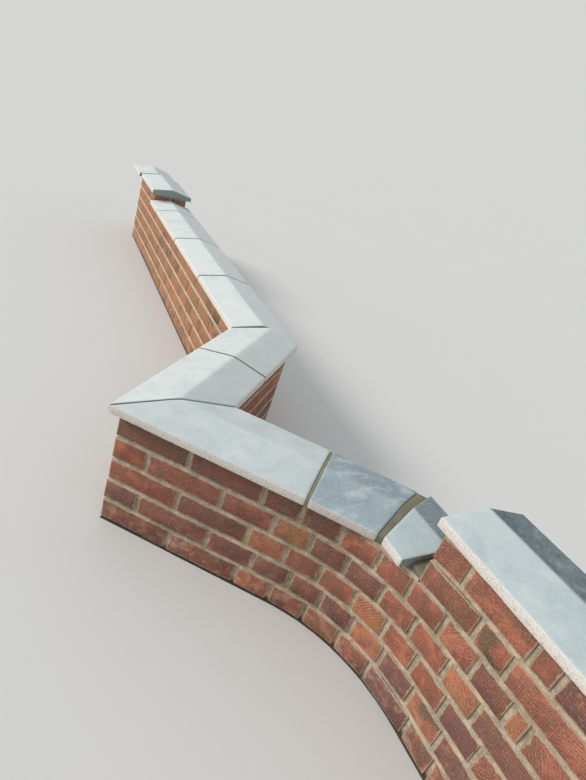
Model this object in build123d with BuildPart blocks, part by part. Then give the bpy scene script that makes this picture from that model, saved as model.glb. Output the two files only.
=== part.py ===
from build123d import *
from math import cos, radians, sin, tan
import os

# Brickwork: a wall one brick thick, laid in courses of brick and bed joint.
brick_length = 215.0
brick_height = 65.0
bed_joint = 10.0
low_courses = 5
far_raised_courses = 1
near_raised_courses = 2

# Plan: a straight boundary wall with a right-angled planter standing out of it.
planter_leg = 810.0
far_run_bend = 4.0
far_raised_length = 715.0
far_end_radius = 200.0
curve_radius = 590.0
raised_end_from_corner = 107.0

# Twice-weathered coping stones, with a throating groove under each edge.
stone_length = 555.0
stone_overhang = 25.0
stone_edge = 25.0
stone_rise = 25.0
stone_arris = 3.0
groove_radius = 4.0
groove_inset = 12.0
stone_joint = 10.0
mitre_joint = 6.0
joint_recess = 3.0

# Stones cut to fit on site.
far_whole_stones = 3
far_cut_stone_length = 240.0
return_stone_length = 530.0
second_stone_length = 186.0
second_stone_turn = 1.5
wedge_joint = 16.5
wedge_joint_turn = 15.0
wedge_joint_spread = 3.5
near_cut_shift = 25.0
near_cut_skew = 6.0
near_stone_gap = 42.0
near_gap_recess = 12.0
far_stone_gap = 10.0
far_raised_stone_length = 470.0
far_end_stone_shift = 15.0
near_raised_stones = 2
near_end_skew = 5.0

# Levels, from the foot of the wall up.
wall_thickness = brick_length
course = brick_height + bed_joint
low_top = low_courses * course
low_underside = low_top + bed_joint
far_raised_top = low_top + far_raised_courses * course
far_raised_underside = far_raised_top + bed_joint
near_raised_top = low_top + near_raised_courses * course
near_raised_underside = near_raised_top + bed_joint

# The face line runs from the far end by the inner corner, the nose and the curve to the near end.
corner_reach = planter_leg * sin(radians(45))
inner_corner = (-corner_reach, 0)
nose = (0, -corner_reach)
inner_turn = 45 - far_run_bend
curve_tangent = curve_radius * tan(radians(22.5))
curve_start = planter_leg - curve_tangent
curve_end_x = corner_reach + curve_tangent
raised_end_x = corner_reach + raised_end_from_corner
near_coping_length = near_raised_stones * stone_length + (near_raised_stones - 1) * stone_joint
near_end_x = raised_end_x + near_coping_length - 2 * stone_overhang
stone_back = wall_thickness + stone_overhang
stone_pitch = stone_length + stone_joint
inner_joint = -stone_overhang * tan(radians(inner_turn / 2))
far_cut_finish = inner_joint - far_whole_stones * stone_pitch
far_cut_start = far_cut_finish - far_cut_stone_length
far_raised_start = far_cut_start - far_stone_gap
far_run_length = far_raised_length - far_raised_start


def run_plane(corner, heading):
    """Plan plane of one run: x along its face line, y into the wall."""
    along = (cos(radians(heading)), sin(radians(heading)), 0)
    return Plane(origin=(corner[0], corner[1], 0), x_dir=along, z_dir=(0, 0, 1))


def cut_plane(run, x, y=0.0, heading=0.0):
    """Upright plane through a point of a run, facing a heading that is measured from the run."""
    foot = run.from_local_coords(Vector(x, y, 0))
    return Plane(origin=foot, x_dir=(0, 0, 1), z_dir=run.x_dir.rotate(Axis.Z, heading))


far_run = run_plane(inner_corner, -far_run_bend)
return_run = run_plane(inner_corner, -45)
front_run = run_plane(nose, 45)
near_run = run_plane((0, 0), 0)

pieces = []


def keep_piece(piece, name):
    piece.part.label = name
    pieces.append(piece.part)


def masonry(run, outline, bottom, top, name):
    """Mass of masonry over a plan outline drawn on a run's plane."""
    with BuildPart() as block:
        with BuildSketch(run.offset(bottom)):
            with BuildLine():
                Polyline(*outline, close=True)
            make_face()
        extrude(amount=top - bottom)
    keep_piece(block, name)


def coping(run, underside, start, finish, cuts=(), recess=0.0):
    """Length of coping between cuts, or with a recess the mortar that fills a joint in it."""
    half_width = wall_thickness / 2 + stone_overhang - recess
    edge = stone_edge - recess
    middle = run.from_local_coords(Vector(start, wall_thickness / 2, underside))
    with BuildPart() as length:
        with BuildSketch(Plane(origin=middle, x_dir=run.y_dir, z_dir=run.x_dir)) as section:
            with BuildLine():
                Polyline(
                    (-half_width, 0),
                    (half_width, 0),
                    (half_width, edge),
                    (0, edge + stone_rise),
                    (-half_width, edge),
                    close=True,
                )
            make_face()
            if recess == 0:
                fillet(section.vertices().filter_by(lambda corner: corner.Y > edge / 2), stone_arris)
                with GridLocations(2 * (half_width - groove_inset), 0, 2, 1):
                    Circle(groove_radius, mode=Mode.SUBTRACT)
        extrude(amount=finish - start)
        for cut in cuts:
            split(bisect_by=cut, keep=Keep.TOP)
    return length


# Brickwork of the far run, whose end is rounded on the face side.
inner_mitre = wall_thickness * tan(radians(inner_turn / 2))


def far_masonry(outline, bottom, top, name):
    with BuildPart() as block:
        with BuildSketch(far_run.offset(bottom)) as plan:
            with BuildLine():
                Polyline(*outline, close=True)
            make_face()
            fillet(plan.vertices().sort_by_distance((-far_run_length, 0))[0], far_end_radius)
        extrude(amount=top - bottom)
    keep_piece(block, name)


far_end = [(-far_run_length, wall_thickness), (-far_run_length, 0)]
inner_end = [(0, 0), (inner_mitre, wall_thickness)]
raised_step = [(far_raised_start, 0), (far_raised_start, wall_thickness)]
far_masonry(far_end + inner_end, 0, low_top, "far_run_wall")
far_masonry(far_end + raised_step, low_top, far_raised_top, "far_raised_course")
far_masonry(far_end + raised_step, far_raised_top, far_raised_underside, "far_raised_bed")

# Brickwork of the planter's return and front, mitred at the nose.
return_outline = [
    (0, 0),
    (planter_leg, 0),
    (planter_leg - wall_thickness, wall_thickness),
    (-inner_mitre, wall_thickness),
]
front_outline = [
    (0, 0),
    (curve_start, 0),
    (curve_start, wall_thickness),
    (wall_thickness, wall_thickness),
]
near_outline = [
    (curve_end_x, 0),
    (near_end_x, 0),
    (near_end_x, wall_thickness),
    (curve_end_x, wall_thickness),
]
masonry(return_run, return_outline, 0, low_top, "return_wall")
masonry(front_run, front_outline, 0, low_top, "front_wall")
masonry(near_run, near_outline, 0, low_top, "near_run_wall")
masonry(near_run, near_outline, low_top, near_raised_top, "near_raised_wall")

# Brickwork of the curve, raised from the step on.
raised_step_plane = cut_plane(near_run, raised_end_x)


def curved_masonry(bottom, top, name, cuts=()):
    centre = (curve_end_x, -curve_radius)
    with BuildPart() as block:
        with BuildSketch(Plane.XY.offset(bottom)):
            with BuildLine():
                face = CenterArc(centre, curve_radius, 90, 45)
                back = CenterArc(centre, curve_radius + wall_thickness, 90, 45)
                Line(face @ 0, back @ 0)
                Line(face @ 1, back @ 1)
            make_face()
        extrude(amount=top - bottom)
        for cut in cuts:
            split(bisect_by=cut, keep=Keep.TOP)
    keep_piece(block, name)


curved_masonry(0, low_top, "curved_wall")
curved_masonry(low_top, near_raised_top, "near_raised_curve", [raised_step_plane])

# Mortar beds that carry the coping.
far_bed_outline = raised_step[::-1] + inner_end
masonry(far_run, far_bed_outline, low_top, low_underside, "far_run_bed")
masonry(return_run, return_outline, low_top, low_underside, "return_bed")
masonry(front_run, front_outline, low_top, low_underside, "front_bed")
curved_masonry(low_top, low_underside, "curved_bed", [-raised_step_plane])
curved_masonry(near_raised_top, near_raised_underside, "near_raised_curve_bed", [raised_step_plane])
masonry(near_run, near_outline, near_raised_top, near_raised_underside, "near_raised_bed")

# Coping of the far run, laid in whole stones from the inner corner and closed by a cut one.
far_joints = []
for number in range(far_whole_stones):
    finish = inner_joint - number * stone_pitch
    stone = coping(far_run, low_underside, finish - stone_length, finish)
    keep_piece(stone, f"far_run_coping_{number + 1}")
    far_joints.append(coping(far_run, low_underside, finish, finish + stone_joint, recess=joint_recess))
far_cut_stone = coping(far_run, low_underside, far_cut_start, far_cut_finish)
keep_piece(far_cut_stone, "far_run_cut_coping")
for start, finish in (
    (far_cut_finish, far_cut_finish + stone_joint),
    (far_raised_start, far_cut_start),
):
    far_joints.append(coping(far_run, low_underside, start, finish, recess=joint_recess))

# Coping of the far raised length, in two stones, of which the end one stands out further.
far_raised_finish = far_raised_start + stone_overhang
far_raised_joint = far_raised_finish - far_raised_stone_length
far_coping_end = -far_run_length - stone_overhang
near_stone = coping(far_run, far_raised_underside, far_raised_joint, far_raised_finish)
keep_piece(near_stone, "far_raised_coping_1")
shifted_corner = far_run.from_local_coords(Vector(0, -far_end_stone_shift, 0))
end_stone = coping(
    run_plane(tuple(shifted_corner), -far_run_bend),
    far_raised_underside,
    far_coping_end,
    far_raised_joint - stone_joint,
)
keep_piece(end_stone, "far_raised_coping_2")
far_raised_mortar = coping(
    far_run,
    far_raised_underside,
    far_raised_joint - stone_joint,
    far_raised_joint,
    recess=joint_recess,
)
keep_piece(far_raised_mortar, "far_raised_coping_joint")

# Coping of the return: a stone mitred at the nose, and one cut twice where the far run sets off.
nose_on_return = planter_leg + stone_overhang
return_joint = nose_on_return - return_stone_length
half_joint = mitre_joint / 2
return_mitre = cut_plane(return_run, planter_leg, heading=-135)
front_mitre = cut_plane(front_run, 0, heading=-45)
return_stone = coping(
    return_run,
    low_underside,
    return_joint,
    nose_on_return,
    [return_mitre.offset(half_joint)],
)
keep_piece(return_stone, "return_nose_coping")
inner_stone = coping(
    return_run,
    low_underside,
    -stone_length,
    return_joint - stone_joint,
    [
        cut_plane(far_run, inner_joint + stone_joint),
        cut_plane(far_run, 0, stone_back, heading=-90),
    ],
)
keep_piece(inner_stone, "return_inner_coping")
return_mortar = coping(
    return_run,
    low_underside,
    return_joint - stone_joint,
    return_joint,
    recess=joint_recess,
)
keep_piece(return_mortar, "return_coping_joint")

# Coping of the planter's front: a mitred stone, one turned to follow the curve, and a cut one
# that is set out further, over the curved face.
front_joint = curve_start - stone_joint
front_stone = coping(
    front_run,
    low_underside,
    -stone_overhang,
    front_joint,
    [front_mitre.offset(half_joint)],
)
keep_piece(front_stone, "front_nose_coping")
front_mortar = coping(
    front_run,
    low_underside,
    front_joint,
    front_joint + stone_joint,
    recess=joint_recess,
)
keep_piece(front_mortar, "front_coping_joint")

second_start = cut_plane(front_run, front_joint + stone_joint)
second_run = run_plane(tuple(second_start.origin), 45 - second_stone_turn)
wedge_plane = cut_plane(
    second_run, second_stone_length, -stone_overhang, heading=-wedge_joint_turn
)
second_reach = second_stone_length + stone_back
second_stone = coping(
    second_run,
    low_underside,
    -stone_back,
    second_reach,
    [second_start, -wedge_plane],
)
keep_piece(second_stone, "front_turned_coping")
wedge_far_plane = Plane(
    origin=wedge_plane.offset(wedge_joint).origin,
    x_dir=(0, 0, 1),
    z_dir=wedge_plane.z_dir.rotate(Axis.Z, -wedge_joint_spread),
)
wedge_mortar = coping(
    second_run,
    low_underside,
    0,
    second_reach,
    [wedge_plane, -wedge_far_plane],
    joint_recess,
)
keep_piece(wedge_mortar, "front_wedge_joint")

cut_stone_run = run_plane((0, -near_cut_shift), 0)
near_cut_finish = raised_end_x - near_stone_gap
near_cut_end = cut_plane(cut_stone_run, near_cut_finish, -stone_overhang, -near_cut_skew)
near_cut_stone = coping(
    cut_stone_run,
    low_underside,
    near_cut_finish - stone_length,
    raised_end_x,
    [wedge_far_plane, -near_cut_end],
)
keep_piece(near_cut_stone, "near_cut_coping")
near_fillet = coping(
    near_run,
    low_underside,
    near_cut_finish,
    raised_end_x,
    [near_cut_end],
    near_gap_recess,
)
keep_piece(near_fillet, "near_cut_joint")

# Mortar of the mitre at the nose, half of it on each run.
with BuildPart() as nose_joint:
    add(
        coping(
            return_run,
            low_underside,
            planter_leg - stone_back - half_joint,
            nose_on_return,
            [return_mitre, -return_mitre.offset(half_joint)],
            joint_recess,
        ).part
    )
    add(
        coping(
            front_run,
            low_underside,
            -stone_overhang,
            stone_back + half_joint,
            [front_mitre, -front_mitre.offset(half_joint)],
            joint_recess,
        ).part
    )
keep_piece(nose_joint, "nose_coping_joint")

# Mortar joints of the far run, one piece of work in several solids.
with BuildPart() as far_mortar:
    for joint in far_joints:
        add(joint.part)
keep_piece(far_mortar, "far_run_coping_joints")

# Coping of the near raised length, in whole stones, the first with its end out of square.
near_coping_start = raised_end_x - stone_overhang
near_end_cut = cut_plane(near_run, near_coping_start, -stone_overhang, -near_end_skew)
with BuildPart() as near_mortar:
    for number in range(near_raised_stones - 1):
        joint_start = near_coping_start + stone_length + number * stone_pitch
        add(
            coping(
                near_run,
                near_raised_underside,
                joint_start,
                joint_start + stone_joint,
                recess=joint_recess,
            ).part
        )
keep_piece(near_mortar, "near_raised_coping_joint")
for number in range(near_raised_stones):
    start = near_coping_start + number * stone_pitch
    cuts = [near_end_cut] if number == 0 else []
    stone = coping(near_run, near_raised_underside, start, start + stone_length, cuts)
    keep_piece(stone, f"near_raised_coping_{number + 1}")

# The origin is at the middle of the wall's plan, on the ground.
corners = [piece.bounding_box() for piece in pieces]
middle_x = (min(box.min.X for box in corners) + max(box.max.X for box in corners)) / 2
middle_y = (min(box.min.Y for box in corners) + max(box.max.Y for box in corners)) / 2
os.makedirs("parts", exist_ok=True)
for piece in pieces:
    placed = piece.moved(Location((-middle_x, -middle_y, 0)))
    placed.label = piece.label
    export_step(placed, f"parts/{placed.label}.step")
print("origin stands at", round(middle_x, 2), round(middle_y, 2), "on the near run's plane")
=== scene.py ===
import math
import random

import bpy
import numpy as np
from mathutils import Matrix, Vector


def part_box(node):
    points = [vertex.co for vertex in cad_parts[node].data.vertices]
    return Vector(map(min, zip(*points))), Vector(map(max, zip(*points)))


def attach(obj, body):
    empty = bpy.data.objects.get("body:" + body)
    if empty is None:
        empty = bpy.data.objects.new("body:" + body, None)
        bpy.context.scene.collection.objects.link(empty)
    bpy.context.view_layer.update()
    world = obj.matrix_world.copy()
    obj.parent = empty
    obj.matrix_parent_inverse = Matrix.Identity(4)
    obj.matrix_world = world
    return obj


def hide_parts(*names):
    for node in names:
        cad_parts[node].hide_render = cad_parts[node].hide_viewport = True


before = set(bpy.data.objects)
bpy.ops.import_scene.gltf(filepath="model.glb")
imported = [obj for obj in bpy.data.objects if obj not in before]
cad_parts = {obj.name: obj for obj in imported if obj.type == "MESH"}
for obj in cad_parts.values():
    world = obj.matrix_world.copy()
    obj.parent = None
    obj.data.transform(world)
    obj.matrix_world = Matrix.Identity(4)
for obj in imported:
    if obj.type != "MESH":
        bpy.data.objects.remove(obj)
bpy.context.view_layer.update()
print("frame loaded:", len(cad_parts), "nodes")

# Sizes of the wall and of its coping, in metres and degrees, as in the CAD source.
wallSizes = {
    "thickness": 0.215,
    "brickHeight": 0.065,
    "bedJoint": 0.010,
    "lowCourses": 5,
    "farRaisedCourses": 1,
    "nearRaisedCourses": 2,
    "planterLeg": 0.810,
    "farRunBend": 4.0,
    "farRaisedLength": 0.715,
    "farEndRadius": 0.200,
    "curveRadius": 0.590,
    "raisedEndFromCorner": 0.107,
}
copingSizes = {
    "length": 0.555,
    "overhang": 0.025,
    "edge": 0.025,
    "rise": 0.025,
    "grooveRadius": 0.004,
    "grooveInset": 0.012,
    "joint": 0.010,
    "mitreJoint": 0.006,
    "jointRecess": 0.003,
    "farWholeStones": 3,
    "farCutLength": 0.240,
    "returnLength": 0.530,
    "secondLength": 0.186,
    "secondTurn": 1.5,
    "wedgeJoint": 0.0165,
    "wedgeTurn": 15.0,
    "wedgeSpread": 3.5,
    "cutShift": 0.025,
    "cutSkew": 6.0,
    "nearGap": 0.042,
    "nearGapRecess": 0.012,
    "farGap": 0.010,
    "farRaisedLength": 0.470,
    "farEndShift": 0.015,
    "nearRaisedStones": 2,
    "nearEndSkew": 5.0,
}

thickness = wallSizes["thickness"]
bedJoint = wallSizes["bedJoint"]
course = wallSizes["brickHeight"] + bedJoint
lowCourses = wallSizes["lowCourses"]
lowTop = lowCourses * course
lowUnderside = lowTop + bedJoint
farUnderside = lowTop + wallSizes["farRaisedCourses"] * course + bedJoint
nearUnderside = lowTop + wallSizes["nearRaisedCourses"] * course + bedJoint
overhang = copingSizes["overhang"]
stoneLength = copingSizes["length"]
stoneJoint = copingSizes["joint"]
stonePitch = stoneLength + stoneJoint
stoneBack = thickness + overhang
planterLeg = wallSizes["planterLeg"]
curveRadius = wallSizes["curveRadius"]
backRadius = curveRadius + thickness
farBend = -wallSizes["farRunBend"]

cornerReach = planterLeg * math.sin(math.radians(45))
innerTurn = 45 + farBend
curveTangent = curveRadius * math.tan(math.radians(22.5))
curveStart = planterLeg - curveTangent
curveEndX = cornerReach + curveTangent
curveFinish = curveStart + curveRadius * math.radians(45)
raisedEndX = cornerReach + wallSizes["raisedEndFromCorner"]
nearStones = copingSizes["nearRaisedStones"]
nearEndX = raisedEndX + nearStones * stonePitch - stoneJoint - 2 * overhang
nearFinish = curveFinish + nearEndX - curveEndX
innerJoint = -overhang * math.tan(math.radians(innerTurn / 2))
farCutFinish = innerJoint - copingSizes["farWholeStones"] * stonePitch
farCutStart = farCutFinish - copingSizes["farCutLength"]
farRaisedStart = farCutStart - copingSizes["farGap"]
farLength = wallSizes["farRaisedLength"] - farRaisedStart
farRadius = wallSizes["farEndRadius"]

# The origin of the wall's long line, read from where the near run stands in the frame.
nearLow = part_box("near_run_wall")[0]
lineOrigin = np.array([nearLow.x - curveEndX, nearLow.y])


def unitAt(heading):
    return np.array([math.cos(math.radians(heading)), math.sin(math.radians(heading))])


def makeRun(corner, heading):
    return {
        "corner": lineOrigin + np.array(corner, float),
        "heading": heading,
        "along": unitAt(heading),
        "into": unitAt(heading + 90),
    }


def runPoint(run, x, y=0.0):
    return run["corner"] + x * run["along"] + y * run["into"]


farRun = makeRun((-cornerReach, 0), farBend)
returnRun = makeRun((-cornerReach, 0), -45)
frontRun = makeRun((0, -cornerReach), 45)
nearRun = makeRun((0, 0), 0)
curveCentre = lineOrigin + np.array([curveEndX, -curveRadius])


# Node helpers, for geometry trees and for materials alike.
def addNode(tree, kind, inputs=None, **settings):
    made = tree.nodes.new(kind)
    for name, value in settings.items():
        setattr(made, name, value)
    for socket, value in (inputs or {}).items():
        if isinstance(value, bpy.types.NodeSocket):
            tree.links.new(value, made.inputs[socket])
        else:
            made.inputs[socket].default_value = value
    return made


def vectorMath(tree, operation, first, second=(0.0, 0.0, 0.0)):
    inputs = {0: first, 1: second}
    made = addNode(tree, "ShaderNodeVectorMath", inputs, operation=operation)
    return made.outputs["Value" if operation == "LENGTH" else "Vector"]


def scaled(tree, vector, scale):
    inputs = {0: vector, "Scale": scale}
    return addNode(tree, "ShaderNodeVectorMath", inputs, operation="SCALE").outputs["Vector"]


def valueMath(tree, operation, first, second=0.0, clamp=False):
    inputs = {0: first, 1: second}
    return addNode(tree, "ShaderNodeMath", inputs, operation=operation, use_clamp=clamp).outputs[0]


def plus(tree, first, second, clamp=False):
    return valueMath(tree, "ADD", first, second, clamp)


def minus(tree, first, second):
    return valueMath(tree, "SUBTRACT", first, second)


def times(tree, first, second, clamp=False):
    return valueMath(tree, "MULTIPLY", first, second, clamp)


# A field's way from its middle, at a given reach.
def swing(tree, field, reach, middle=0.5):
    return times(tree, minus(tree, field, middle), reach)


def remap(tree, value, fromLow, fromHigh, toLow=0.0, toHigh=1.0):
    inputs = {"Value": value, 1: fromLow, 2: fromHigh, 3: toLow, 4: toHigh}
    made = addNode(tree, "ShaderNodeMapRange", inputs, interpolation_type="SMOOTHSTEP")
    return made.outputs[0]


# A mask is given as where it starts, where it is full, and its share there.
def maskOf(tree, field, start, full, share):
    return times(tree, remap(tree, field, start, full), share)


# Noise is given as its scale, detail, roughness and distortion.
def noiseOf(tree, place, scale, detail=2.0, rough=0.5, distortion=0.0, output="Fac"):
    inputs = {
        "Vector": place,
        "Scale": scale,
        "Detail": detail,
        "Roughness": rough,
        "Distortion": distortion,
    }
    return addNode(tree, "ShaderNodeTexNoise", inputs, noise_dimensions="3D").outputs[output]


def splitVector(tree, vector):
    return addNode(tree, "ShaderNodeSeparateXYZ", {0: vector}).outputs


def joinVector(tree, x=0.0, y=0.0, z=0.0):
    return addNode(tree, "ShaderNodeCombineXYZ", {0: x, 1: y, 2: z}).outputs[0]


floatIn, vectorIn = "NodeSocketFloat", "NodeSocketVector"
geometryIn, materialIn = "NodeSocketGeometry", "NodeSocketMaterial"


def newTree(name, kind, inputs, outputs):
    tree = bpy.data.node_groups.new(name, kind)
    for way, sockets in (("INPUT", inputs), ("OUTPUT", outputs)):
        for label, socketType in sockets:
            tree.interface.new_socket(name=label, in_out=way, socket_type=socketType)
    entry = tree.nodes.new("NodeGroupInput").outputs
    leave = tree.nodes.new("NodeGroupOutput").inputs
    return tree, entry, leave


def newEffect(name, inputs, outputs):
    inputs = [("Place", vectorIn)] + [(label, floatIn) for label in inputs]
    return newTree(name, "ShaderNodeTree", inputs, [(label, floatIn) for label in outputs])


def newShaper(name, inputs):
    inputs = [(label, floatIn) for label in inputs]
    inputs = [("Geometry", geometryIn), *inputs, ("Material", materialIn)]
    return newTree(name, "GeometryNodeTree", inputs, [("Geometry", geometryIn)])


def named(tree, name, kind="FLOAT_VECTOR"):
    inputs = {"Name": name}
    return addNode(tree, "GeometryNodeInputNamedAttribute", inputs, data_type=kind).outputs[0]


def moveAndFinish(tree, entry, leave, move, smooth):
    made = addNode(tree, "GeometryNodeSetPosition", move)
    if smooth:
        made = addNode(tree, "GeometryNodeSetShadeSmooth", {"Geometry": made.outputs[0]})
    inputs = {"Geometry": made.outputs[0], "Material": entry["Material"]}
    made = addNode(tree, "GeometryNodeSetMaterial", inputs)
    tree.links.new(made.outputs[0], leave["Geometry"])
    return tree


def runTree(piece, tree, values):
    modifier = piece.modifiers.new(tree.name, "NODES")
    modifier.node_group = tree
    for item in tree.interface.items_tree:
        if item.item_type == "SOCKET" and item.in_out == "INPUT" and item.name in values:
            modifier[item.identifier] = values[item.name]
    bpy.context.view_layer.update()
    ready = piece.evaluated_get(bpy.context.evaluated_depsgraph_get())
    mesh = bpy.data.meshes.new_from_object(ready)
    piece.modifiers.remove(modifier)
    old = piece.data
    piece.data = mesh
    bpy.data.meshes.remove(old)
    mesh.name = piece.name


# Shared effects of the materials.
effects = {
    "grainNoise": (4.0, 0.7),
    "blotchScale": 0.06,
    "blotchNoise": (5.0, 0.6, 0.4),
    "blotches": (0.35, 0.68),
    "wearNoise": (3.0, 0.6),
    "wear": (0.18, 0.5),
    "dirtNoise": (4.0, 0.62),
    "dirt": (1.0, 0.15),
    "patches": (0.48, 0.62),
}


def makeGrain():
    tree, entry, leave = newEffect(
        "surfaceGrain", ("Scale", "Sharpness"), ("Grain", "Blotches")
    )
    place, scale, sharpness = entry["Place"], entry["Scale"], entry["Sharpness"]
    fine = noiseOf(tree, place, scale, *effects["grainNoise"])
    broadScale = times(tree, scale, effects["blotchScale"])
    broad = noiseOf(tree, place, broadScale, *effects["blotchNoise"])
    low, high = minus(tree, 0.5, sharpness), plus(tree, 0.5, sharpness)
    tree.links.new(remap(tree, fine, low, high), leave["Grain"])
    tree.links.new(remap(tree, broad, *effects["blotches"]), leave["Blotches"])
    return tree


def makeEdgeWear():
    tree, entry, leave = newEffect("edgeWear", ("Edge", "Scale", "Amount"), ("Worn",))
    ragged = noiseOf(tree, entry["Place"], entry["Scale"], *effects["wearNoise"])
    worn = remap(tree, times(tree, entry["Edge"], ragged), *effects["wear"])
    tree.links.new(times(tree, worn, entry["Amount"], True), leave["Worn"])
    return tree


def makeFootDirt():
    tree, entry, leave = newEffect("footDirt", ("Reach", "Scale"), ("Dirt", "Patches"))
    height = splitVector(tree, entry["Place"])[2]
    ragged = noiseOf(tree, entry["Place"], entry["Scale"], *effects["dirtNoise"])
    level = minus(tree, height, swing(tree, ragged, entry["Reach"]))
    share = valueMath(tree, "DIVIDE", level, entry["Reach"])
    tree.links.new(remap(tree, share, *effects["dirt"]), leave["Dirt"])
    tree.links.new(remap(tree, ragged, *effects["patches"]), leave["Patches"])
    return tree


grainTree = makeGrain()
wearTree = makeEdgeWear()
dirtTree = makeFootDirt()


def useGroup(tree, group, place, values):
    inputs = {"Place": place, **values}
    return addNode(tree, "ShaderNodeGroup", inputs, node_tree=group).outputs


def attributeOf(tree, name, output="Vector"):
    return addNode(tree, "ShaderNodeAttribute", attribute_name=name).outputs[output]


def mixColour(tree, share, first, second):
    ends = [(*end, 1.0) if isinstance(end, tuple) else end for end in (first, second)]
    inputs = {0: share, 6: ends[0], 7: ends[1]}
    return addNode(tree, "ShaderNodeMix", inputs, data_type="RGBA").outputs[2]


# Layers of colour, each with its mask and with the name that its tint has in the finish.
def overlaid(tree, colour, finish, layers):
    for share, tint in layers:
        colour = mixColour(tree, share, colour, finish[tint])
    return colour


def rampOf(tree, value, stops):
    made = addNode(tree, "ShaderNodeValToRGB", {0: value})
    ramp = made.color_ramp
    while len(ramp.elements) < len(stops):
        ramp.elements.new(0.5)
    for element, (place, colour) in zip(ramp.elements, stops):
        element.position = place
        element.color = (*colour, 1.0)
    return made.outputs[0]


specularLevel = 0.3


def newMaterial(name, roughness):
    material = bpy.data.materials.new(name)
    material.use_nodes = True
    tree = material.node_tree
    shader = tree.nodes["Principled BSDF"]
    shader.inputs["Roughness"].default_value = roughness
    shader.inputs["Specular IOR Level"].default_value = specularLevel
    place = addNode(tree, "ShaderNodeTexCoord").outputs["Object"]
    return material, tree, shader, place


# Bumps are given as a height with its distance and strength.
def finishMaterial(tree, shader, colour, bumps):
    tree.links.new(colour, shader.inputs["Base Color"])
    normal = {}
    for height, (distance, strength) in bumps:
        inputs = {"Height": height, "Distance": distance, "Strength": strength, **normal}
        normal = {"Normal": addNode(tree, "ShaderNodeBump", inputs).outputs[0]}
    tree.links.new(normal["Normal"], shader.inputs["Normal"])


brickFinish = {
    "tones": [
        (0.0, (0.200, 0.092, 0.082)),
        (0.15, (0.260, 0.092, 0.070)),
        (0.3, (0.255, 0.110, 0.068)),
        (0.5, (0.355, 0.115, 0.075)),
        (0.68, (0.465, 0.155, 0.096)),
        (0.86, (0.560, 0.215, 0.094)),
        (1.0, (0.390, 0.198, 0.086)),
    ],
    "burnt": (0.165, 0.098, 0.062),
    # Dark of the drag lines and pits, partly their own colour and partly painted shade in the
    # grooves and hollows.
    "line": (0.110, 0.046, 0.034),
    # Pale bloom, which also serves as the painted highlight along the drag-line ridges.
    "bloom": (0.640, 0.450, 0.340),
    "smear": (0.450, 0.360, 0.250),
    "roughness": 0.88,
    "roughnessOfPits": (0.2, 0.8, 0.95, 0.8),
    "grain": {"Scale": 420.0, "Sharpness": 0.16},
    "blotchReach": 0.44,
    "grainShare": 0.22,
    # Drag lines, which turn and fade from brick to brick, and always show on the lightest ones.
    "lines": {
        "Scale": 44.0,
        "Distortion": 7.5,
        "Detail": 4.0,
        "Detail Scale": 0.9,
        "Detail Roughness": 0.68,
    },
    "lineTurn": 1.9,
    "turnDraw": 17.0,
    "keenDraw": 7.0,
    "keenness": (0.2, 0.95, 0.12, 0.7),
    "keenTones": (0.72, 0.84),
    "fadingNoise": (55.0, 4.0, 0.65, 0.8),
    "fading": (0.38, 0.66),
    "grooves": (0.42, 0.05),
    "grooveShadeShare": 0.58,
    "ridgeHighlights": (0.55, 0.95),
    "ridgeHighlightShare": 0.42,
    "patchNoise": (13.0, 3.0, 0.5, 0.6),
    "patches": (0.44, 0.6),
    "pitNoise": (270.0, 4.0, 0.75),
    "shadedHollows": (0.46, 0.34, 0.75),
    "flecks": (0.55, 0.66, 0.5),
    "edge": (0.006, 0.0),
    "wear": {"Scale": 70.0, "Amount": 0.5},
    "smearNoise": (55.0, 4.0, 0.65),
    "smearReach": (0.022, 0.44),
    "smears": (0.0016, 0.0004, 0.85),
    "foot": {"Reach": 0.16, "Scale": 34.0},
    "footShare": 0.28,
    "lineBump": (0.0011, 0.9),
    "pitBump": (0.0012, 0.8),
    "grainBump": (0.0004, 0.6),
}


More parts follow.
